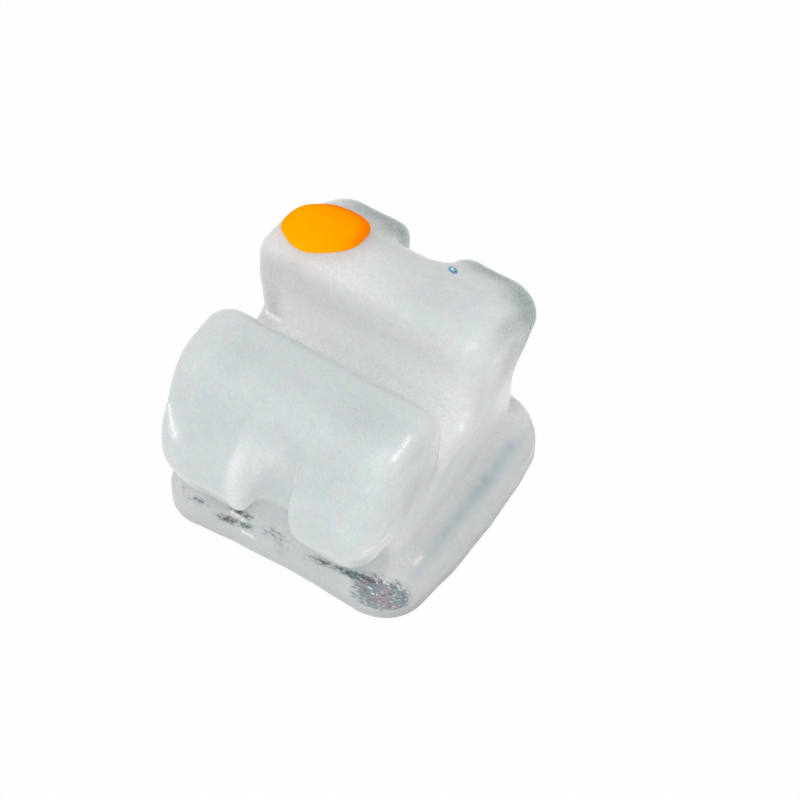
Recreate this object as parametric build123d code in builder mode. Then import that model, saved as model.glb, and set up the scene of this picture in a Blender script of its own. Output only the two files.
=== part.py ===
from build123d import *
from math import sqrt
import os

# Ceramic twin bracket for one tooth, in millimetres: one sintered body and its painted orientation dot.
# X runs along the archwire slot, +Y is the gingival side and +Z points away from the tooth.
# The origin is under the middle of the bars, level with the lowest edges of the bonding base.

# Archwire slot
slot_width = 0.56
slot_floor_height = 1.71
slot_corner_radius = 0.03

# Both bars: length at the slot's floor, and how far each end leans out per mm of height
bar_length = 2.94
end_lean = 0.09
end_radius = 0.34

# Section of the occlusal bar: reaches from the slot's middle line and heights above the slot's floor.
# The wings' lower hem lies in from the tip and below it, and overhangs the neck of the stem.
occlusal_wall_height = 0.97
occlusal_mouth_radius = 0.35
occlusal_crest_reach = 1.27
occlusal_crest_height = 0.99
occlusal_crest_radius = 0.59
occlusal_tip_reach = 2.09
occlusal_tip_height = 0.01
occlusal_tip_radius = 0.64
occlusal_hem_tuck = 0.32
occlusal_hem_drop = 0.81
occlusal_overhang = 0.42
occlusal_neck_rise = 0.15

# Section of the gingival bar, measured in the same way
gingival_wall_height = 1.22
gingival_mouth_radius = 0.34
gingival_crest_reach = 1.15
gingival_crest_height = 1.125
gingival_crest_radius = 0.50
gingival_tip_reach = 2.07
gingival_tip_height = 0.39
gingival_tip_radius = 0.36
gingival_hem_tuck = 0.43
gingival_hem_drop = 0.44
gingival_overhang = 0.24
gingival_neck_rise = -0.16

# Lower edges of the tie wings, the neck above the stem and the foot of the stem
hem_radius = 0.18
neck_radius = 0.08
root_radius = 0.20

# Notches that split each bar into two tie wings: they widen towards the tips, from which their depths are measured.
# The occlusal notch lies a little off the middle.
notch_inner_width = 0.64
notch_mouth_width = 0.84
notch_inner_radius = 0.20
notch_rim_radius = 0.12
occlusal_notch_depth = 0.57
occlusal_notch_offset = 0.05
gingival_notch_depth = 0.65

# Middle of the stem, which comes out under the occlusal notch to its inner wall
stem_rib_width = 0.84
stem_rib_setback = 0.02
stem_rib_radius = 0.10

# Bonding base: a thin pad that arches across X to fit the face of the tooth, with a flange round the stem.
# It sits a little towards +X of the bars.
base_offset = 0.05
base_end_flange = 0.13
base_occlusal_flange = 0.37
base_gingival_flange = 0.24
base_side_bulge = 0.15
base_corner_radius = 0.52
base_thickness = 0.42
base_arch_radius = 7.0
base_rim_radius = 0.18

# Shallow crossed grooves under the base that key the adhesive
groove_pitch = 0.45
groove_width = 0.12
groove_depth = 0.05

# Painted dot on the gingival bar, towards the -X end
dot_diameter = 0.94
dot_thickness = 0.03
dot_offset = 0.93
dot_reach = 0.97

# Reaches, heights and lengths that follow from the sizes above
occlusal_hem_reach = occlusal_tip_reach - occlusal_hem_tuck
occlusal_hem_height = occlusal_tip_height - occlusal_hem_drop
occlusal_neck_reach = occlusal_hem_reach - occlusal_overhang
occlusal_neck_height = occlusal_hem_height + occlusal_neck_rise
gingival_hem_reach = gingival_tip_reach - gingival_hem_tuck
gingival_hem_height = gingival_tip_height - gingival_hem_drop
gingival_neck_reach = gingival_hem_reach - gingival_overhang
gingival_neck_height = gingival_hem_height + gingival_neck_rise
base_length = bar_length + 2 * base_end_flange
base_occlusal_reach = occlusal_neck_reach + base_occlusal_flange
base_gingival_reach = gingival_neck_reach + base_gingival_flange
arch_rise = base_arch_radius - sqrt(base_arch_radius**2 - (base_length / 2) ** 2)
arch_centre_height = arch_rise - base_arch_radius
stem_foot_height = base_thickness
bars_top_height = slot_floor_height + max(occlusal_wall_height, gingival_wall_height, gingival_crest_height)
bars_reach = max(occlusal_tip_reach, gingival_tip_reach)
gingival_slope_foot = slot_floor_height + gingival_tip_height
stem_rib_reach = occlusal_tip_reach - occlusal_notch_depth - stem_rib_setback
stem_rib_foot = arch_rise + base_thickness / 2
stem_rib_top = slot_floor_height + occlusal_neck_height + occlusal_tip_radius / 4
base_middle = (base_gingival_reach - base_occlusal_reach) / 2
base_width = base_gingival_reach + base_occlusal_reach


def bar_end(height):
    """Half the length of the bars at a height above the lowest edges of the base."""
    return bar_length / 2 + end_lean * (height - slot_floor_height)


def bar_corners(side, wall, crest, tip, hem, neck):
    """Corners of one bar's section with their radii, from the slot's floor over the bar to the stem's foot."""
    corners = [((side * slot_width / 2, slot_floor_height), slot_corner_radius)]
    for reach, height, radius in (wall, crest, tip, hem, neck):
        corners.append(((side * reach, slot_floor_height + height), radius))
    corners.append(((side * neck[0], stem_foot_height), 0))
    return corners


gingival_corners = bar_corners(
    1,
    (slot_width / 2, gingival_wall_height, gingival_mouth_radius),
    (gingival_crest_reach, gingival_crest_height, gingival_crest_radius),
    (gingival_tip_reach, gingival_tip_height, gingival_tip_radius),
    (gingival_hem_reach, gingival_hem_height, hem_radius),
    (gingival_neck_reach, gingival_neck_height, neck_radius),
)
occlusal_corners = bar_corners(
    -1,
    (slot_width / 2, occlusal_wall_height, occlusal_mouth_radius),
    (occlusal_crest_reach, occlusal_crest_height, occlusal_crest_radius),
    (occlusal_tip_reach, occlusal_tip_height, occlusal_tip_radius),
    (occlusal_hem_reach, occlusal_hem_height, hem_radius),
    (occlusal_neck_reach, occlusal_neck_height, neck_radius),
)
section_corners = gingival_corners + occlusal_corners[::-1]
section_points = [point for point, radius in section_corners]
section_radii = [radius for point, radius in section_corners]

# Bonding base with its arched faces, rounded upper rim and grooves
with BuildPart() as bonding_base:
    with BuildSketch() as base_plan:
        with BuildLine():
            Polyline(
                (-base_length / 2, base_gingival_reach),
                (base_length / 2, base_gingival_reach),
            )
            ThreePointArc(
                (base_length / 2, base_gingival_reach),
                (base_length / 2 + base_side_bulge, base_middle),
                (base_length / 2, -base_occlusal_reach),
            )
            Polyline(
                (base_length / 2, -base_occlusal_reach),
                (-base_length / 2, -base_occlusal_reach),
            )
            ThreePointArc(
                (-base_length / 2, -base_occlusal_reach),
                (-base_length / 2 - base_side_bulge, base_middle),
                (-base_length / 2, base_gingival_reach),
            )
        make_face()
        fillet(base_plan.vertices(), radius=base_corner_radius)
    extrude(amount=arch_rise + base_thickness)
    with BuildSketch(Plane.XZ) as arch:
        with Locations((0, arch_centre_height)):
            Circle(base_arch_radius + base_thickness)
            Circle(base_arch_radius, mode=Mode.SUBTRACT)
    extrude(amount=base_width, both=True, mode=Mode.INTERSECT)
    fillet(bonding_base.faces().sort_by(Axis.Z)[-1].edges(), radius=base_rim_radius)

    long_groove_count = int(base_length / groove_pitch) - 1
    cross_groove_count = int(base_width / groove_pitch) - 1
    with BuildSketch(Plane.XZ) as long_grooves:
        for location in GridLocations(groove_pitch, 0, long_groove_count, 1):
            x = location.position.X
            roof = arch_centre_height + sqrt(base_arch_radius**2 - x**2) + groove_depth
            with Locations((x, roof / 2)):
                Rectangle(groove_width, roof)
    extrude(amount=base_width, both=True, mode=Mode.SUBTRACT)
    with Locations((0, base_middle, arch_centre_height)):
        with GridLocations(0, groove_pitch, 1, cross_groove_count):
            Cylinder(
                radius=base_arch_radius + groove_depth,
                height=groove_width,
                rotation=(90, 0, 0),
                mode=Mode.SUBTRACT,
            )

# Bars, slot and stem in one section, cut to length, notched and set on the base
with BuildPart() as bracket_body:
    with BuildSketch(Plane.YZ) as section:
        with BuildLine():
            FilletPolyline(*section_points, radius=section_radii, close=True)
        make_face()
    extrude(amount=bar_length, both=True)
    with BuildSketch(Plane.XZ) as end_outline:
        with BuildLine():
            Polyline(
                (bar_end(stem_foot_height), stem_foot_height),
                (bar_end(bars_top_height), bars_top_height),
                (-bar_end(bars_top_height), bars_top_height),
                (-bar_end(stem_foot_height), stem_foot_height),
                close=True,
            )
        make_face()
    extrude(amount=bars_reach, both=True, mode=Mode.INTERSECT)
    end_faces = bracket_body.faces().sort_by(Axis.X)
    end_edges = end_faces[0].edges() + end_faces[-1].edges()
    stem_foot_edges = end_edges.filter_by_position(Axis.Z, 0, stem_foot_height)
    fillet([edge for edge in end_edges if edge not in stem_foot_edges], radius=end_radius)

    with BuildSketch(Plane.XY.offset(stem_foot_height)) as notches:
        for side, tip_reach, depth, middle in (
            (-1, occlusal_tip_reach, occlusal_notch_depth, occlusal_notch_offset),
            (1, gingival_tip_reach, gingival_notch_depth, 0),
        ):
            flare = (notch_mouth_width - notch_inner_width) / 2 / depth
            outer_half_width = notch_mouth_width / 2 + flare * notch_mouth_width
            outer_end = side * (tip_reach + notch_mouth_width)
            inner_end = side * (tip_reach - depth)
            with BuildLine():
                FilletPolyline(
                    (middle - outer_half_width, outer_end),
                    (middle - notch_inner_width / 2, inner_end),
                    (middle + notch_inner_width / 2, inner_end),
                    (middle + outer_half_width, outer_end),
                    radius=[0, notch_inner_radius, notch_inner_radius, 0],
                    close=True,
                )
            make_face()
    extrude(amount=bars_top_height, mode=Mode.SUBTRACT)
    fillet(bracket_body.edges(Select.NEW), radius=notch_rim_radius)

    with Locations((base_offset, 0, 0)):
        add(bonding_base.part)
    fillet(bracket_body.edges(Select.NEW), radius=root_radius)

    with BuildSketch(Plane.XY.offset(stem_rib_foot)) as stem_rib:
        with Locations((occlusal_notch_offset, -stem_rib_reach / 2)):
            Rectangle(stem_rib_width, stem_rib_reach)
        fillet(stem_rib.vertices().group_by(Axis.Y)[0], radius=stem_rib_radius)
    extrude(amount=stem_rib_top - stem_rib_foot)

# Coat of paint that follows the gingival bar's crest and outer slope inside a round outline
with BuildPart() as orientation_dot:
    with BuildSketch(Plane.YZ) as coated_section:
        with BuildLine():
            FilletPolyline(*section_points, radius=section_radii, close=True)
        make_face()
        offset(amount=dot_thickness)
    extrude(amount=bar_length, both=True)
    with BuildSketch(Plane.XY.offset(gingival_slope_foot)) as dot_outline:
        with Locations((-dot_offset, dot_reach)):
            Circle(dot_diameter / 2)
    extrude(amount=bars_top_height, mode=Mode.INTERSECT)
    add(bracket_body.part, mode=Mode.SUBTRACT)

os.makedirs("parts", exist_ok=True)
bracket_body.part.label = "bracket_body"
export_step(bracket_body.part, "parts/bracket_body.step")
orientation_dot.part.label = "orientation_dot"
export_step(orientation_dot.part, "parts/orientation_dot.step")
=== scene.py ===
import bpy
from math import cos, pi, radians, sin
import numpy as np
from mathutils import Matrix, Vector


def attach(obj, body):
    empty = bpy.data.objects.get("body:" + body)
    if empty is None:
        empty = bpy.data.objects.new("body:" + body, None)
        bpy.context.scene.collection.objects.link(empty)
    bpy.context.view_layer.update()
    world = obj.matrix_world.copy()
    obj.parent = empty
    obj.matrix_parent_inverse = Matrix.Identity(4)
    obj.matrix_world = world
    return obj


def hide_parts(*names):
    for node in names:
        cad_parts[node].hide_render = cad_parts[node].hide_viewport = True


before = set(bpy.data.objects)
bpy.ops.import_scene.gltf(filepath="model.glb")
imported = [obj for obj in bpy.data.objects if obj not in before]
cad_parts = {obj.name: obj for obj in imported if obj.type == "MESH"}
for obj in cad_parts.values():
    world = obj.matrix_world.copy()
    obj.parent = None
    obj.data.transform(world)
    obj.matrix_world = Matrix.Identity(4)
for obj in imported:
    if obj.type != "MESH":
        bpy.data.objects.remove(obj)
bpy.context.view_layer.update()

# The body is one piece of translucent sintered alumina: bonding base, stem, archwire slot and four tie wings.
# It is moulded and fired, so each edge is rounded, the skin is faintly rippled, and nothing is joined.
# Sizes are in mm. X runs along the slot, Y towards the bar with the dot and Z away from the tooth.
mm = 0.001
slot_half_width = 0.28
slot_floor = 1.71
bar_half_length = 1.49
bar_end_lean = 0.09
occlusal_end_hollow = 0.03
gingival_end_hollow = 0.07
end_rounding = 0.26
end_rounding_at_tips = 0.42
end_rounding_at_crests = 0.37
tips_start, tips_end = 0.9, 1.8
crests_start, crests_end = 0.5, 1.0
notch_half_width = 0.33
notch_rounding = 0.20
notch_rim = 0.14
occlusal_notch_shift = 0.05
occlusal_notch_end = 1.52
gingival_notch_end = 1.42
wing_tip_flare = 0.20
flare_start, flare_end = 0.15, 0.70
stem_middle_half_width = 0.42
stem_middle_reach = 1.50
stem_middle_back = 1.0
stem_middle_top = 1.20
stem_middle_rounding = 0.12
stem_middle_blend = 0.06
stem_foot = 0.2
stem_root = 0.25
base_half_length = 1.60
base_shift = 0.05
base_occlusal_reach = 1.72
base_gingival_reach = 1.63
base_side_bulge = 0.15
base_corner = 0.52
base_thickness = 0.43
base_rim = 0.19
base_lower_rim = 0.06
base_arch = 7.0
groove_pitch = 0.45
groove_half_width = 0.07
groove_depth = 0.04
groove_margin_start, groove_margin_end = 0.08, 0.24
skin_ripple = 0.004
ripple_count = 14
ripple_shortest, ripple_longest = 0.35, 0.9
skin_step = 0.03

# Corners of the section across the slot, as (y, height above the slot's floor, rounding): over the bar with
# the dot and down the stem, then up the other side and over the other bar
bracket_section = [
    (slot_half_width, 0.0, 0.03), (slot_half_width, 1.20, 0.34), (1.157, 1.126, 0.51), (2.066, 0.395, 0.30),
    (1.60, -0.055, 0.14), (1.405, -0.21, 0.18), (1.405, -2.0, 0.0),
    (-1.35, -2.0, 0.0), (-1.35, -0.65, 0.15), (-1.763, -0.80, 0.14), (-2.092, 0.01, 0.644),
    (-1.271, 1.0, 0.586), (-slot_half_width, 0.97, 0.35), (-slot_half_width, 0.0, 0.03),
]


def rounded_section(corners, turns=14):
    """The closed outline with an arc in each corner: its centre lies on the bisector, its rounding over the
    sine of half the corner's angle away from the corner, and it touches both sides."""
    outline = []
    places = np.array([(y, slot_floor + height) for y, height, rounding in corners])
    for number, (y, height, rounding) in enumerate(corners):
        here, before, after = places[number], places[number - 1], places[(number + 1) % len(corners)]
        if rounding == 0:
            outline.append(here[None])
            continue
        back = (before - here) / np.linalg.norm(before - here)
        forth = (after - here) / np.linalg.norm(after - here)
        half_angle = np.arccos(back @ forth) / 2
        bisector = (back + forth) / np.linalg.norm(back + forth)
        centre = here + bisector * rounding / np.sin(half_angle)
        start = here + back * rounding / np.tan(half_angle) - centre
        end = here + forth * rounding / np.tan(half_angle) - centre
        first = np.arctan2(start[1], start[0])
        swing = (np.arctan2(end[1], end[0]) - first + pi) % (2 * pi) - pi
        angle = first + swing * np.linspace(0, 1, turns)
        outline.append(centre + rounding * np.stack([np.cos(angle), np.sin(angle)], axis=1))
    return np.concatenate(outline)


def outline_distance(outline, y, z):
    """Distance from each point to the nearest side of the outline, negative inside it, where a ray from the
    point crosses an odd number of sides."""
    nearest = np.full(np.broadcast(y, z).shape, 1e9)
    inside = np.zeros(nearest.shape, bool)
    for (y0, z0), (y1, z1) in zip(outline, np.roll(outline, -1, axis=0)):
        along = ((y - y0) * (y1 - y0) + (z - z0) * (z1 - z0)) / ((y1 - y0) ** 2 + (z1 - z0) ** 2 + 1e-18)
        along = np.clip(along, 0, 1)
        away = (y - y0 - along * (y1 - y0)) ** 2 + (z - z0 - along * (z1 - z0)) ** 2
        nearest = np.minimum(nearest, away)
        if z0 != z1:
            inside ^= ((z0 > z) != (z1 > z)) & (y < y0 + (y1 - y0) * (z - z0) / (z1 - z0))
    return np.where(inside, -1, 1) * np.sqrt(nearest)


section_step = 0.01
section_y = np.arange(-2.5, 2.5, section_step)
section_z = np.arange(-0.4, 3.3, section_step)
section_table = outline_distance(rounded_section(bracket_section), section_y[:, None], section_z[None])


def section_distance(y, z):
    """Distance to the section, read between the four nearest places of its table."""
    across = np.clip((y - section_y[0]) / section_step, 0, len(section_y) - 1.001)
    up = np.clip((z - section_z[0]) / section_step, 0, len(section_z) - 1.001)
    i, j = across.astype(int), up.astype(int)
    a, b = across - i, up - j
    lower = section_table[i, j] * (1 - a) + section_table[i + 1, j] * a
    upper = section_table[i, j + 1] * (1 - a) + section_table[i + 1, j + 1] * a
    return lower * (1 - b) + upper * b


def ramp(start, end, value):
    """Rises smoothly from 0 at start to 1 at end: t times t times (3 less 2 t)."""
    t = np.clip((value - start) / (end - start), 0, 1)
    return t * t * (3 - 2 * t)


def rounded_meet(first, second, rounding):
    """Distance to the space inside both shapes, with a round edge where they meet: the length of both parts
    that stick out past the edge's centre line."""
    outside = np.hypot(np.maximum(first + rounding, 0), np.maximum(second + rounding, 0))
    return outside + np.minimum(np.maximum(first, second) + rounding, 0) - rounding


def soft_join(first, second, width):
    """Distance to either shape, with a fillet: a straight mix of the two less width times the mix times its
    rest."""
    mix = np.clip(0.5 + 0.5 * (second - first) / width, 0, 1)
    return second * (1 - mix) + first * mix - width * mix * (1 - mix)


def arch_height(x):
    """Height of the underside: how far the tooth's arc of base_arch falls between x and the base's end."""
    fall = base_arch - np.sqrt(base_arch ** 2 - np.minimum(x * x, base_half_length ** 2))
    return base_arch - np.sqrt(base_arch ** 2 - base_half_length ** 2) - fall


def groove_height(x, y):
    """Depth of the crossed grooves: bells of groove_half_width halfway between multiples of groove_pitch, the
    deeper of both directions."""
    across = np.abs((x / groove_pitch) % 1 - 0.5) * groove_pitch
    along = np.abs((y / groove_pitch) % 1 - 0.5) * groove_pitch
    bells = [np.exp(-(away / groove_half_width) ** 2) for away in (across, along)]
    return groove_depth * np.maximum(*bells)


def base_distance(x, y, z):
    """A rounded plan with bulging ends, met by the arched top with a round rim and by the arch below, whose
    grooves fade out before the plan's edge."""
    x = x - base_shift
    middle = (base_gingival_reach - base_occlusal_reach) / 2
    half_width = (base_gingival_reach + base_occlusal_reach) / 2
    bulge = base_side_bulge * (1 - ((y - middle) / half_width) ** 2)
    plan = rounded_meet(np.abs(x) - base_half_length - bulge, np.abs(y - middle) - half_width, base_corner)
    top = z - arch_height(x) - base_thickness
    grooves = groove_height(x, y) * ramp(groove_margin_start, groove_margin_end, -plan)
    underside = arch_height(x) + grooves - z
    return rounded_meet(rounded_meet(plan, top, base_rim), underside, base_lower_rim)


ripple_seed = np.random.default_rng(7)
ripple_waves = ripple_seed.normal(size=(ripple_count, 3))
ripple_rates = 2 * pi / ripple_seed.uniform(ripple_shortest, ripple_longest, (ripple_count, 1))
ripple_waves *= ripple_rates / np.linalg.norm(ripple_waves, axis=1, keepdims=True)
ripple_phases = ripple_seed.uniform(0, 2 * pi, ripple_count)


def bracket_distance(x, y, z):
    """The section run along X, cut to leaning ends and two notches, each with round edges, joined softly to
    the base, plus a sum of sine waves for the ripple."""
    hollow = np.where(y < 0, occlusal_end_hollow, gingival_end_hollow) * (y / 2) ** 2
    end = np.abs(x) - bar_half_length - bar_end_lean * (z - slot_floor) + hollow
    rounding = (
        end_rounding
        + (end_rounding_at_tips - end_rounding) * ramp(tips_start, tips_end, np.abs(y))
        + (end_rounding_at_crests - end_rounding) * ramp(crests_start, crests_end, z - slot_floor)
    )
    bars = rounded_meet(section_distance(y, z), end, rounding)
    notches = ((-1, occlusal_notch_end, occlusal_notch_shift), (1, gingival_notch_end, 0))
    for side, inner_end, shift in notches:
        reach = side * y
        flare = wing_tip_flare * ramp(inner_end + flare_start, inner_end + flare_end, reach) ** 2
        notch = rounded_meet(np.abs(x - shift) - notch_half_width - flare, inner_end - reach, notch_rounding)
        bars = -soft_join(-bars, notch, notch_rim)
    stem_side = np.abs(x - occlusal_notch_shift) - stem_middle_half_width
    stem_middle = rounded_meet(stem_side, -stem_middle_reach - y, stem_middle_rounding)
    stem_end = np.maximum(y + stem_middle_back, z - stem_middle_top)
    bars = soft_join(bars, np.maximum(stem_middle, stem_end), stem_middle_blend)
    bars = np.maximum(bars, stem_foot - z)
    skin = soft_join(bars, base_distance(x, y, z), stem_root)
    for (wave_x, wave_y, wave_z), phase in zip(ripple_waves, ripple_phases):
        skin = skin + skin_ripple / 3 * np.sin(wave_x * x + wave_y * y + wave_z * z + phase)
    return skin


def bracket_slope(points, hair=0.006):
    """Direction in which the distance grows, from its difference between points a hair apart on each axis."""
    slope = np.empty_like(points)
    for axis in range(3):
        shift = np.zeros(3)
        shift[axis] = hair
        slope[:, axis] = bracket_distance(*(points + shift).T) - bracket_distance(*(points - shift).T)
    return slope / (2 * hair)


def net_of(distance, low, step):
    """Four-sided faces where the distance passes nought: one point in each cell that it crosses, at the mean
    of the crossings of the cell's edges, and one face round each crossed edge, turned outwards."""
    cells = np.array(distance.shape) - 1
    crossing_sum = np.zeros((*cells, 3), np.float32)
    crossing_count = np.zeros(cells, np.int16)
    edges = []
    for axis in range(3):
        one, two = [(axis + 1) % 3, (axis + 2) % 3]
        near = np.moveaxis(distance, (axis, one, two), (0, 1, 2))
        crossed = (near[:-1] < 0) != (near[1:] < 0)
        share = np.where(crossed, near[:-1] / np.where(crossed, near[:-1] - near[1:], 1), 0)
        steps = [np.arange(size, dtype=np.float32) for size in crossed.shape]
        place = np.stack(np.meshgrid(*steps, indexing="ij"), axis=-1)
        place[..., 0] += share
        place *= crossed[..., None]
        sums = np.moveaxis(crossing_sum, (axis, one, two), (0, 1, 2))
        counts = np.moveaxis(crossing_count, (axis, one, two), (0, 1, 2))
        for i in (0, 1):
            for j in (0, 1):
                piece = place[:, i:i + counts.shape[1], j:j + counts.shape[2]]
                for target, source in ((axis, 0), (one, 1), (two, 2)):
                    sums[..., target] += piece[..., source]
                counts += crossed[:, i:i + counts.shape[1], j:j + counts.shape[2]]
        edges.append((axis, one, two, crossed, near[:-1] < 0))
    mixed_cells = crossing_count > 0
    numbers = np.cumsum(mixed_cells).reshape(mixed_cells.shape) - 1
    points = np.asarray(low) + step * crossing_sum[mixed_cells] / crossing_count[mixed_cells][:, None]
    faces = []
    for axis, one, two, crossed, starts_inside in edges:
        turned = np.moveaxis(numbers, (axis, one, two), (0, 1, 2))
        i, j, k = np.nonzero(crossed)
        corners = [turned[i, j - 1, k - 1], turned[i, j, k - 1], turned[i, j, k], turned[i, j - 1, k]]
        ring = np.stack(corners, axis=1)
        outward = starts_inside[i, j, k]
        faces.append(np.where(outward[:, None], ring, ring[:, ::-1]))
    return points, np.concatenate(faces)


def evened(points, faces, turns=3, pulls=3, least_slope=0.2):
    """Each point moved halfway to the mean of its neighbours, then back along the slope by the distance over
    the slope's square, a few times over."""
    for turn in range(turns):
        sums, counts = np.zeros_like(points), np.zeros(len(points))
        for start, end in ((0, 1), (1, 2), (2, 3), (3, 0)):
            for here, there in ((faces[:, start], faces[:, end]), (faces[:, end], faces[:, start])):
                for axis in range(3):
                    sums[:, axis] += np.bincount(here, points[there, axis], len(points))
                counts += np.bincount(here, minlength=len(points))
        points = points + 0.5 * (sums / counts[:, None] - points)
        for pull in range(pulls):
            slope = bracket_slope(points)
            away = bracket_distance(*points.T)
            points = points - slope * (away / np.maximum((slope ** 2).sum(axis=1), least_slope))[:, None]
    return points


grid_low = np.array([-1.95, -2.25, -0.12])
grid_lengths = (3.95, 4.4, 3.2)
grid_sizes = [int(length / skin_step) for length in grid_lengths]
grid_x, grid_y, grid_z = [low + skin_step * np.arange(size) for low, size in zip(grid_low, grid_sizes)]
grid_distance = bracket_distance(grid_x[:, None, None], grid_y[None, :, None], grid_z[None, None, :])
body_points, body_faces = net_of(grid_distance, grid_low, skin_step)
body_points = evened(body_points, body_faces)

# Marks seen from above, as (x, y, half length, half width, turn, strength): dark smudges on the flange,
# # painted grey shade on the bars and blue-grey streaks beside the stem's foot
flange_smudges = [
    (-1.29, -1.55, 0.10, 0.045, -19, 0.4), (-1.03, -1.63, 0.18, 0.045, 4, 0.65),
    (-0.48, -1.565, 0.17, 0.030, -7, 0.75), (-0.51, -1.665, 0.25, 0.035, 3, 0.75),
    (0.04, -1.635, 0.22, 0.08, -8, 0.65), (0.73, -1.61, 0.27, 0.040, 8, 0.75),
    (1.12, -1.53, 0.20, 0.05, 14, 0.6), (1.42, -1.48, 0.30, 0.12, 22, 1.5),
    (1.38, -1.59, 0.27, 0.08, 23, 1.0), (-0.60, 1.57, 0.40, 0.05, 0, 0.8),
    (0.95, 1.55, 0.30, 0.06, -8, 0.9), (-1.56, 0.35, 0.50, 0.05, 90, 0.6), (-1.50, -0.9, 0.22, 0.06, 96, 0.6),
]
bar_shades = [
    (-0.74, 1.76, 0.58, 0.22, -4, 1.0), (-0.42, 1.55, 0.16, 0.20, 0, 0.45), (0.82, 1.79, 0.45, 0.19, 4, 1.0),
    (1.40, 1.60, 0.26, 0.28, -30, 0.9), (1.50, 1.20, 0.09, 0.45, 0, 0.5), (-1.33, 0.28, 0.19, 0.10, 0, 0.24),
    (1.53, -0.95, 0.08, 0.38, 0, 0.25), (0.95, -0.95, 0.45, 0.45, 0, 0.12),
    (-1.05, -1.15, 0.35, 0.55, 0, 0.07),
]
flange_streaks = [
    (1.565, 0.06, 1.28, 0.075, 91, 0.72), (1.56, 0.96, 0.12, 0.06, 90, 0.5),
    (1.60, 0.45, 0.35, 0.08, 90, 0.4), (-1.50, -0.2, 0.7, 0.05, 90, 0.3),
]
# Painted highlights along edges, and dark scratches, as their two ends, half width and strength
painted_edge_highlights = [
    ((-1.38, -1.63, 2.10), (-1.16, -1.85, 1.98), 0.060, 1.0),
    ((-1.36, 0.30, 1.72), (-1.15, 0.27, 1.73), 0.045, 1.0),
    ((1.37, 0.30, 1.72), (1.40, 0.16, 1.64), 0.045, 1.0),
    ((1.375, -0.85, 2.66), (1.37, -1.17, 2.62), 0.030, 1.0),
    ((1.37, -1.17, 2.62), (1.24, -1.55, 2.34), 0.022, 0.4),
    ((0.34, -1.58, 2.19), (0.26, -1.545, 1.69), 0.028, 0.8),
    ((1.455, -1.46, 1.50), (1.39, -1.80, 1.58), 0.030, 0.9),
    ((1.53, -0.88, 0.475), (1.52, -1.00, 0.475), 0.040, 1.0),
    ((1.525, -0.50, 2.00), (1.54, -0.53, 2.45), 0.035, 0.4),
    ((-0.60, -1.60, 0.575), (-0.37, -1.635, 0.585), 0.026, 1.0),
    ((-0.38, -1.705, 0.486), (-0.23, -1.71, 0.49), 0.030, 1.0),
]
dark_scratches = [
    ((-0.63, -1.55, 0.583), (-0.33, -1.585, 0.63), 0.024, 1.0),
    ((-0.74, -1.68, 0.488), (-0.31, -1.66, 0.57), 0.024, 0.9),
    ((0.46, -1.635, 0.565), (1.00, -1.56, 0.54), 0.024, 0.8),
    ((1.06, -1.53, 0.53), (1.30, -1.47, 0.51), 0.024, 0.6),
]


def flat_bells(points, marks):
    """Sum of bells seen from above: each falls with the cube of the distance along it over its half length,
    and with the square of the distance across it over its half width."""
    cover = np.zeros(len(points))
    for x, y, half_length, half_width, turn, strength in marks:
        away_x, away_y = points[:, 0] - x, points[:, 1] - y
        along = away_x * cos(radians(turn)) + away_y * sin(radians(turn))
        across = away_y * cos(radians(turn)) - away_x * sin(radians(turn))
        cover += strength * np.exp(-((along / half_length) ** 2) ** 1.5 - (across / half_width) ** 2)
    return cover


def line_bells(points, lines):
    """Bells that fall with the square of the distance to each line over its half width."""
    cover = np.zeros(len(points))
    for start, end, half_width, strength in lines:
        start, run = np.array(start), np.subtract(end, start)
        share = np.clip((points - start) @ run / (run @ run), 0, 1)
        away = np.linalg.norm(points - start - share[:, None] * run, axis=1)
        cover += strength * np.exp(-((away / half_width) ** 2))
    return np.clip(cover, 0, 1)


def smudge_cover(points):
    """The smudges, kept to the flange's upper side: above the base's lower edge and below the wings."""
    above_edge = ramp(0.14, 0.26, points[:, 2] - arch_height(points[:, 0] - base_shift))
    below_wings = 1 - ramp(0.62, 0.80, points[:, 2])
    return flat_bells(points, flange_smudges) * below_wings * above_edge


def shade_cover(points):
    """The painted grey shade, kept to the bars above the stem."""
    return np.clip(flat_bells(points, bar_shades) * ramp(1.3, 2.0, points[:, 2]), 0, 1)


def streak_cover(points):
    """The streaks, kept to the height of the stem's foot."""
    below_stem, above_rim = 1 - ramp(0.52, 0.62, points[:, 2]), ramp(0.30, 0.40, points[:, 2])
    return flat_bells(points, flange_streaks) * below_stem * above_rim


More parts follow.
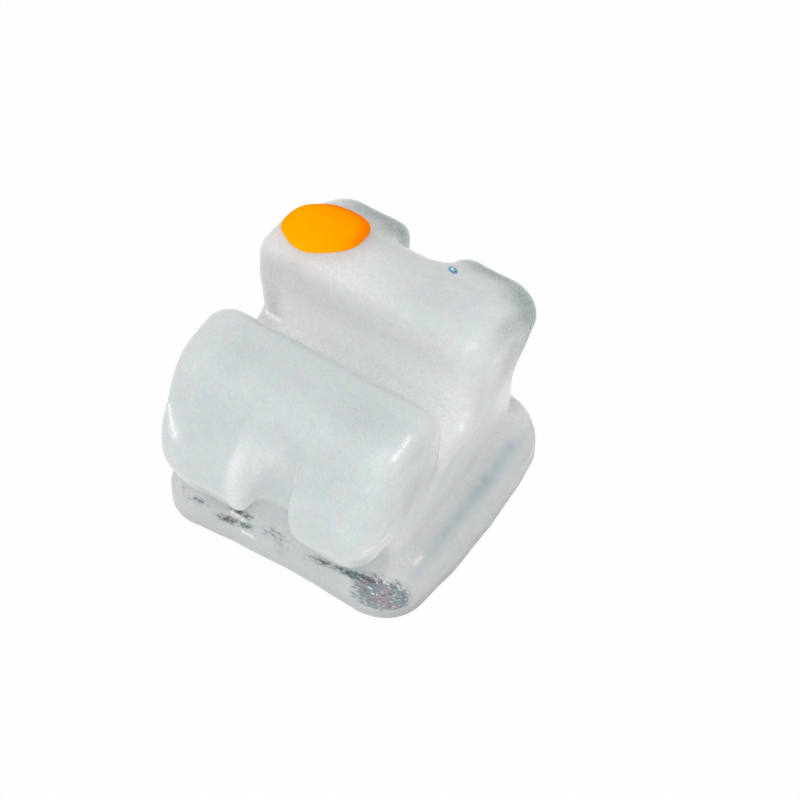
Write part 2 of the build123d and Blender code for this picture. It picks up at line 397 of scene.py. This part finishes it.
def painted_hollow_light(points):
    """Painted light: how much lighter a point is painted in the slot, a notch or at the stem's foot, with a
    little on the crest before the dot and on the flange. In the notch it is weaker below a slant, a painted
    shadow of the wing. Each is a product of ramps in x, y and z."""
    x, y, z = points.T
    end_reach, reach = np.abs(x), np.abs(y)
    in_slot = (1 - ramp(0.28, 0.46, reach)) * (1 - ramp(1.9, 2.85, z)) * ramp(1.5, 1.7, z)
    in_slot *= 1 - 0.5 * ramp(1.2, 1.5, end_reach)
    in_slot *= 1 - 0.8 * ramp(1.0, 1.3, -x)
    in_notch = (1 - ramp(0.34, 0.46, end_reach)) * (1 - ramp(1.9, 2.5, z)) * ramp(1.2, 1.5, reach)
    in_notch *= ramp(0.52, 0.70, z)
    in_notch *= 0.55 + 0.45 * ramp(1.8, 2.15, z - 2.2 * x)
    at_foot = ramp(1.25, 1.42, end_reach) * (1 - ramp(1.50, 1.62, end_reach)) * (1 - ramp(0.9, 2.0, z))
    at_foot *= ramp(0.35, 0.45, z)
    on_crest = ramp(0.3, 0.5, y) * (1 - ramp(0.8, 1.2, reach)) * (1 - ramp(-0.9, 0.6, x)) * ramp(2.6, 2.8, z)
    on_flange = 1 - ramp(0.55, 0.80, z)
    return np.clip(in_slot + 0.7 * in_notch + 0.6 * at_foot + 0.7 * on_crest + 0.10 * on_flange, 0, 1)


def painted_shade_warmth(points):
    """Share of the warmer tint, a painted shade on faces turned from the cool lamps: none on the occlusal
    bar's open face, some on the gingival bar's, all of it on the stem, the ends and in the slot, and a third
    on the flange."""
    x, y, z = np.abs(points[:, 0]), points[:, 1], points[:, 2]
    faces = 0.45 * ramp(-0.4, 0.5, y)
    warm_shade_share = faces + 0.8 * ramp(1.30, 1.50, x) + (1 - ramp(0.7, 1.3, z))
    warm_shade_share += 1 - ramp(0.25, 0.5, np.abs(y))
    return np.clip(warm_shade_share, 0, 1) * (1 - 0.7 * (1 - ramp(0.55, 0.80, z)))


def smooth_mesh(name, points, faces, layers):
    """A smooth mesh of points in mm, with a value for each point in each named layer."""
    mesh = bpy.data.meshes.new(name)
    mesh.from_pydata((points * mm).tolist(), [], faces)
    mesh.shade_smooth()
    for layer_name, values in layers.items():
        layer = mesh.attributes.new(layer_name, "FLOAT", "POINT")
        layer.data.foreach_set("value", values.astype(np.float32))
    return mesh


def shown(name, data):
    """An object of the data, at the origin and in the scene."""
    thing = bpy.data.objects.new(name, data)
    bpy.context.scene.collection.objects.link(thing)
    return thing


body_mesh = smooth_mesh("bracket_skin", body_points, body_faces.tolist(), {
    "smudge": smudge_cover(body_points), "shade": shade_cover(body_points),
    "streak": streak_cover(body_points), "recess": painted_hollow_light(body_points), "painted_shade_warmth": painted_shade_warmth(body_points),
    "gleam": line_bells(body_points, painted_edge_highlights), "scratch": line_bells(body_points, dark_scratches),
})
bracket = shown("bracket_skin", body_mesh)

cool_milk, warm_shade_milk = (0.620, 0.672, 0.680, 1), (0.652, 0.662, 0.655, 1)
cloud_white, painted_light_white = (0.665, 0.672, 0.678, 1), (0.96, 0.965, 0.97, 1)
grain_grey, shade_grey = (0.44, 0.45, 0.45, 1), (0.20, 0.25, 0.26, 1)
streak_blue = (0.44, 0.54, 0.58, 1)
smudge_dark_blue, smudge_dark_brown = (0.19, 0.25, 0.28, 1), (0.31, 0.26, 0.29, 1)
smudge_black, scratch_black = (0.04, 0.05, 0.06, 1), (0.03, 0.035, 0.04, 1)
glint_white, highlight_white = (0.97, 0.97, 0.97, 1), (0.98, 0.98, 0.98, 1)
spot_highlight_blue, spot_deep_blue = (0.40, 0.90, 1.0, 1), (0.0, 0.17, 0.40, 1)
grain_draw = (0.35, 1.0, 1.0)

# The blue spot's middle in metres, and its two axes: each direction over the spot's half width along it
spot_middle = (0.000512, 0.001366, 0.002661)
spot_short_axis, spot_long_axis = (15000, 10200, 0), (-4300, 6440, -4750)


def set_inputs(tree, node, **inputs):
    """Gives inputs of a node a value or another node's output. An input is called by its name or, after a low
    line, by its number."""
    for name, value in inputs.items():
        socket = node.inputs[int(name[1:])] if name[0] == "_" else node.inputs[name.replace("_", " ")]
        if isinstance(value, bpy.types.NodeSocket):
            tree.links.new(value, socket)
        else:
            socket.default_value = value


def add_node(tree, kind, settings=(), **inputs):
    """A new node with its settings and inputs."""
    node = tree.nodes.new(kind)
    for name, value in dict(settings).items():
        setattr(node, name, value)
    set_inputs(tree, node, **inputs)
    return node


def layer_value(tree, name):
    """What the mesh's layer of that name holds."""
    return add_node(tree, "ShaderNodeAttribute", {"attribute_name": name}).outputs["Fac"]


def noise(tree, place, scale, detail, roughness):
    """Cloudy noise: its first output is a value, its second a colour."""
    inputs = {"Scale": scale, "Detail": detail, "Roughness": roughness}
    return add_node(tree, "ShaderNodeTexNoise", _0=place, **inputs).outputs


def vector_math(tree, operation, first, second):
    """Outcome of an operation on two vectors."""
    return add_node(tree, "ShaderNodeVectorMath", {"operation": operation}, _0=first, _1=second).outputs


def value_math(tree, operation, first, second):
    """Outcome of an operation on two values."""
    return add_node(tree, "ShaderNodeMath", {"operation": operation}, _0=first, _1=second).outputs[0]


def times(tree, first, second):
    """Product of two values."""
    return value_math(tree, "MULTIPLY", first, second)


def mixed(tree, share, first, second, blend="MIX"):
    """Mix of two colours by a share."""
    settings = {"data_type": "RGBA", "blend_type": blend}
    return add_node(tree, "ShaderNodeMix", settings, _0=share, _6=first, _7=second).outputs[2]


def stretched(tree, value, low, high, to_low=0.0, to_high=1.0):
    """A value taken smoothly from one range to another."""
    ends = {"_1": low, "_2": high, "_3": to_low, "_4": to_high}
    return add_node(
        tree, "ShaderNodeMapRange", {"interpolation_type": "SMOOTHSTEP"}, _0=value, **ends,
    ).outputs[0]


ceramic = bpy.data.materials.new("translucent_alumina")
ceramic.use_nodes = True
tree = ceramic.node_tree
place = add_node(tree, "ShaderNodeTexCoord").outputs["Object"]
cloud = noise(tree, place, 4500.0, 3.0, 0.6)[0]
patch = noise(tree, place, 5200.0, 4.0, 0.6)[0]
speck = noise(tree, place, 30000.0, 2.0, 0.6)[0]
tints = noise(tree, place, 7000.0, 2.0, 0.5)[1]
drawn = vector_math(tree, "MULTIPLY", place, grain_draw)[0]
drawn_grain = noise(tree, drawn, 36000.0, 2.0, 0.6)[0]
glint = noise(tree, drawn, 32000.0, 1.0, 0.5)[0]
gleam = layer_value(tree, "gleam")

# Milky ceramic with its cloudy tints and grain, a warmer painted shade on its sides, painted light in its
# # hollows, painted grey shade on the bars, and streaks
milk = mixed(tree, layer_value(tree, "painted_shade_warmth"), cool_milk, warm_shade_milk)
milk = mixed(tree, stretched(tree, cloud, 0.30, 0.70, 0.0, 0.5), milk, cloud_white)
milk = mixed(tree, layer_value(tree, "recess"), milk, painted_light_white)
milk = mixed(tree, 0.28, milk, tints, "SOFT_LIGHT")
milk = mixed(tree, stretched(tree, speck, 0.25, 0.75, 0.0, 0.24), milk, grain_grey)
shade_share = times(tree, layer_value(tree, "shade"), stretched(tree, speck, 0.35, 0.65, 0.70, 1.0))
milk = mixed(tree, shade_share, milk, shade_grey)
streak_share = times(tree, layer_value(tree, "streak"), stretched(tree, patch, 0.25, 0.60, 0.55, 1.0))
milk = mixed(tree, streak_share, milk, streak_blue)

# Torn dark smudges with black grains, black scratches and painted pale glints in them
torn = times(tree, layer_value(tree, "smudge"), stretched(tree, patch, 0.30, 0.55, 0.45, 1.15))
torn_grain = times(tree, torn, stretched(tree, drawn_grain, 0.30, 0.66, 0.50, 1.35))
dark_share = stretched(tree, torn_grain, 0.12, 1.0)
smudge_tone = mixed(tree, stretched(tree, cloud, 0.4, 0.6), smudge_dark_blue, smudge_dark_brown)
smudge_tone = mixed(tree, 0.35, smudge_tone, tints, "SOFT_LIGHT")
milk = mixed(tree, dark_share, milk, smudge_tone)
black_grain = stretched(tree, drawn_grain, 0.56, 0.68, 0.0, 0.6)
milk = mixed(tree, times(tree, stretched(tree, dark_share, 0.5, 0.9), black_grain), milk, smudge_black)
scratch_grain = stretched(tree, drawn_grain, 0.40, 0.58, 0.15, 1.0)
milk = mixed(tree, times(tree, layer_value(tree, "scratch"), scratch_grain), milk, scratch_black)
milk = mixed(tree, times(tree, torn, stretched(tree, glint, 0.64, 0.72, 0.0, 0.45)), milk, glint_white)

# Painted highlights along edges, and the small blue spot on the gingival bar with a painted highlight near
# its middle
milk = mixed(tree, times(tree, gleam, stretched(tree, speck, 0.40, 0.60, 0.1, 1.0)), milk, highlight_white)
from_spot = vector_math(tree, "SUBTRACT", place, spot_middle)[0]
spot_across = vector_math(tree, "DOT_PRODUCT", from_spot, spot_short_axis)["Value"]
spot_along = vector_math(tree, "DOT_PRODUCT", from_spot, spot_long_axis)["Value"]
on_spot = add_node(tree, "ShaderNodeCombineXYZ", _0=spot_across, _1=spot_along).outputs[0]
spot_reach = vector_math(tree, "DISTANCE", on_spot, (0, 0, 0))["Value"]
# The lighter cyan middle is a painted highlight on the spot.
spot_highlight_reach = vector_math(tree, "DISTANCE", on_spot, (-0.10, 0.25, 0))["Value"]
spot_blue = mixed(tree, stretched(tree, spot_highlight_reach, 0.10, 0.65), spot_highlight_blue, spot_deep_blue)
milk = mixed(tree, stretched(tree, spot_reach, 0.75, 1.15, 1.0, 0.0), milk, spot_blue)

bump_height = times(tree, speck, value_math(tree, "MAXIMUM", dark_share, gleam))
bump = add_node(tree, "ShaderNodeBump", Strength=0.6, Distance=0.00002, Height=bump_height).outputs[0]
ceramic_shader = tree.nodes["Principled BSDF"]
ceramic_shader.subsurface_method = "RANDOM_WALK"
# Edges with painted highlights also glow a little through the emission: painted light.
set_inputs(
    tree, ceramic_shader, Base_Color=milk, Roughness=0.20, IOR=1.50, Normal=bump,
    Subsurface_Weight=1.0, Subsurface_Radius=(1.0, 1.0, 1.0), Subsurface_Scale=0.0018,
    Emission_Color=(1.0, 1.0, 1.0, 1), Emission_Strength=stretched(tree, gleam, 0.55, 0.95, 0.0, 0.12),
)
body_mesh.materials.append(ceramic)
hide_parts("bracket_body")
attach(bracket, "root")

# The orientation dot is a dab of orange marking paint on one wing, put on with a fine brush after firing.
# It lies on the bar's crest and its outer slope, is about 0.02 mm thick and thins to nothing at its edge.
dot_x, dot_y = -0.996, 1.030
dot_turn = radians(34)
dot_radius_along, dot_radius_across = 0.53, 0.485
dot_paint_thickness = 0.022
dot_paint_waves = 0.12
dot_edge_sink = 0.004
dot_under_depth = 0.012
dot_rings, dot_spokes = 26, 96


def dot_outline(angle):
    """The dab's edge as a share of its radius: a circle with small waves, two, three and five to the turn,
    and blunt at 0."""
    waves = 0.020 * np.sin(2 * angle + 0.6) + 0.012 * np.sin(3 * angle + 2.1) + 0.006 * np.sin(5 * angle)
    return 1 + waves - 0.025 * np.cos(4 * angle) * (1 + np.cos(angle)) / 2


def on_skin(x, y, start=3.2, falls=60):
    """Height of the ceramic under each point, found by going down by most of the distance again and again."""
    z = np.full(x.shape, start)
    for fall in range(falls):
        z = z - 0.85 * bracket_distance(x, y, z)
    return z


ring_share = np.sin(np.linspace(0, 1, dot_rings) * pi / 2)[1:, None]
spoke_angle = np.arange(dot_spokes)[None] * 2 * pi / dot_spokes
dab_along = dot_radius_along * dot_outline(spoke_angle) * ring_share * np.cos(spoke_angle)
dab_across = dot_radius_across * dot_outline(spoke_angle) * ring_share * np.sin(spoke_angle)
dab_x = np.append((dot_x + dab_along * cos(dot_turn) - dab_across * sin(dot_turn)).ravel(), dot_x)
dab_y = np.append((dot_y + dab_along * sin(dot_turn) + dab_across * cos(dot_turn)).ravel(), dot_y)
dab_foot = np.stack([dab_x, dab_y, on_skin(dab_x, dab_y)], axis=1)
dab_slope = bracket_slope(dab_foot)
dab_slope /= np.linalg.norm(dab_slope, axis=1, keepdims=True)
dab_share = np.append(np.repeat(ring_share, dot_spokes), 0)
dab_waves = 1 + dot_paint_waves * np.sin(9 * dab_x) * np.sin(7 * dab_y + 1)
dab_height = dot_paint_thickness * (1 - dab_share ** 5) * dab_waves - dot_edge_sink * dab_share ** 5
dab_top = dab_foot + dab_slope * dab_height[:, None]
dab_under = dab_foot - dab_slope * dot_under_depth

# Faces of the top: four-sided ones between its rings and a fan round its middle. The underside has the same,
# turned over, and a strip joins both round the rim.
ring, spoke = np.meshgrid(np.arange(dot_rings - 2), np.arange(dot_spokes), indexing="ij")
inner, outer, next_spoke = ring * dot_spokes, (ring + 1) * dot_spokes, (spoke + 1) % dot_spokes
top_quads = np.stack([inner + spoke, outer + spoke, outer + next_spoke, inner + next_spoke], axis=-1)
top_quads = top_quads.reshape(-1, 4)
spokes, next_spokes = np.arange(dot_spokes), (np.arange(dot_spokes) + 1) % dot_spokes
under = len(dab_foot)
top_fan = np.stack([np.full(dot_spokes, under - 1), spokes, next_spokes], axis=1)
rim = (dot_rings - 2) * dot_spokes
rim_corners = [rim + spokes, rim + spokes + under, rim + next_spokes + under, rim + next_spokes]
rim_quads = np.stack(rim_corners, axis=1)
dab_faces = []
for faces in (top_quads, top_quads[:, ::-1] + under, top_fan, top_fan[:, ::-1] + under, rim_quads):
    dab_faces += faces.tolist()

dab_redness = np.clip(0.45 + 0.5 * (dab_x - dot_x) + 0.8 * (dab_y - dot_y), 0, 1)
dab_red_edge = ramp(0.62, 0.92, dab_share) * ramp(0.35, 0.75, dab_redness)
dab_mesh = smooth_mesh("paint_dab", np.concatenate([dab_top, dab_under]), dab_faces, {
    "red_edge": np.tile(dab_red_edge, 2), "redness": np.tile(dab_redness, 2),
})
paint_dab = shown("paint_dab", dab_mesh)

light_orange, deep_orange = (1.0, 0.40, 0.0, 1), (1.0, 0.25, 0.0, 1)
brush_orange, edge_red, glow_orange = (1.0, 0.46, 0.0, 1), (1.0, 0.17, 0.0, 1), (1.0, 0.36, 0.0, 1)
paint = bpy.data.materials.new("orange_marking_paint")
paint.use_nodes = True
tree = paint.node_tree
place = add_node(tree, "ShaderNodeTexCoord").outputs["Object"]
brush_marks = noise(tree, place, 3500.0, 3.0, 0.6)[0]
orange = mixed(tree, layer_value(tree, "redness"), light_orange, deep_orange)
orange = mixed(tree, stretched(tree, brush_marks, 0.3, 0.7, 0.0, 0.2), orange, brush_orange)
orange = mixed(tree, layer_value(tree, "red_edge"), orange, edge_red)
paint_bump = add_node(tree, "ShaderNodeBump", Strength=0.15, Distance=0.00001, Height=brush_marks).outputs[0]
# A faint glow keeps the orange bright: painted light, since the dab is no lamp.
set_inputs(
    tree, tree.nodes["Principled BSDF"], Base_Color=orange, Roughness=0.60, IOR=1.40, Specular_IOR_Level=0.0,
    Emission_Color=glow_orange, Emission_Strength=0.18, Normal=paint_bump,
)
dab_mesh.materials.append(paint)
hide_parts("orientation_dot")
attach(paint_dab, "root")

# The photograph is a macro shot from above the slot's left side, against pure white and in even light.
# The camera stands 110 mm off with a long lens, so that the bracket fills it as it does there.
azimuth, elevation, roll = radians(33.94), radians(54.41), radians(-0.93)
camera_distance = 110.0
sensor_width = 36.0
pixels_per_mm = 87.5
photo_width = 800
middle_column, middle_row = 351.0, 402.2
bracket_middle = Vector((0, 0, 1.3))
level = Vector((cos(azimuth), sin(azimuth), 0))
back = Vector((sin(azimuth) * cos(elevation), -cos(azimuth) * cos(elevation), sin(elevation)))
upright = back.cross(level)
right = level * cos(roll) + upright * sin(roll)
up = upright * cos(roll) - level * sin(roll)
aim = bracket_middle + right * (photo_width / 2 - middle_column) / pixels_per_mm
aim += up * (middle_row - photo_width / 2) / pixels_per_mm
lens = bpy.data.cameras.new("macro_lens")
lens.sensor_width = sensor_width
lens.lens = sensor_width * camera_distance / (photo_width / pixels_per_mm)
lens.clip_start, lens.clip_end = 0.001, 10.0
camera = shown("macro_camera", lens)
camera_turn = Matrix((right, up, back)).transposed().to_4x4()
camera.matrix_world = Matrix.Translation((aim + back * camera_distance) * mm) @ camera_turn
bpy.context.scene.camera = camera

# White card below and white air all round, as for a cut-out picture. The card is matt and shows white to the
# camera, keeps a faint shadow, and can be seen through from below.
card_half_width = 0.06
card_drop = 2e-5
card_white_share = 0.96
card_sides = ((-1, -1), (1, -1), (1, 1), (-1, 1))
card_corners = [(x * card_half_width, y * card_half_width, -card_drop) for x, y in card_sides]
card_mesh = bpy.data.meshes.new("white_card")
card_mesh.from_pydata(card_corners, [], [(0, 1, 2, 3)])
white_card = shown("white_card", card_mesh)


def plain_ray(tree):
    """1 for a camera, glossy or transmission ray, which sees the background, and 0 for a ray of light."""
    ray = add_node(tree, "ShaderNodeLightPath").outputs
    seen = value_math(tree, "MAXIMUM", ray["Is Camera Ray"], ray["Is Glossy Ray"])
    return value_math(tree, "MAXIMUM", seen, ray["Is Transmission Ray"])


card = bpy.data.materials.new("white_card")
card.use_nodes = True
tree = card.node_tree
card_shader = tree.nodes["Principled BSDF"]
set_inputs(tree, card_shader, Base_Color=(0.9, 0.9, 0.9, 1), Roughness=1.0, Specular_IOR_Level=0.0)
white = add_node(tree, "ShaderNodeEmission", Color=(1, 1, 1, 1), Strength=1.0).outputs[0]
white_share = times(tree, plain_ray(tree), card_white_share)
matt = card_shader.outputs[0]
card_face = add_node(tree, "ShaderNodeMixShader", _0=white_share, _1=matt, _2=white).outputs[0]
clear = add_node(tree, "ShaderNodeBsdfTransparent").outputs[0]
from_below = add_node(tree, "ShaderNodeNewGeometry").outputs["Backfacing"]
two_sided = add_node(tree, "ShaderNodeMixShader", _0=from_below, _1=card_face, _2=clear).outputs[0]
tree.links.new(two_sided, tree.nodes["Material Output"].inputs["Surface"])
card_mesh.materials.append(card)

world = bpy.data.worlds.new("white_air")
bpy.context.scene.world = world
world.use_nodes = True
tree = world.node_tree
air = tree.nodes["Background"]
set_inputs(tree, air, Color=(1.0, 0.985, 0.965, 1), Strength=0.68)
white = add_node(tree, "ShaderNodeBackground", Color=(1, 1, 1, 1), Strength=1.0).outputs[0]
all_air = add_node(tree, "ShaderNodeMixShader", _0=plain_ray(tree), _1=air.outputs[0], _2=white).outputs[0]
tree.links.new(all_air, tree.nodes["World Output"].inputs["Surface"])

# Three soft disc lamps, as (name, direction, distance, width, power): a broad one over the camera's left
# shoulder, a small one at the right and a low one at the left
lamp_colour = (0.86, 0.97, 1.0)
for name, direction, distance, width, power in (
    ("cool_softbox", (0.18, -0.48, 0.86), 60, 60, 0.0116),
    ("right_lamp", (0.56, -0.15, 0.80), 30, 4, 0.00042),
    ("left_lamp", (-0.75, -0.45, 0.45), 30, 4, 0.00020),
):
    lamp = bpy.data.lights.new(name, "AREA")
    lamp.shape = "DISK"
    lamp.size = width * mm
    lamp.energy = power
    lamp.color = lamp_colour
    stand = shown(name, lamp)
    towards = Vector(direction).normalized()
    lamp_place = (towards * distance + bracket_middle) * mm
    stand.matrix_world = Matrix.Translation(lamp_place) @ towards.to_track_quat("Z", "Y").to_matrix().to_4x4()

bpy.context.scene.view_settings.view_transform = "Standard"
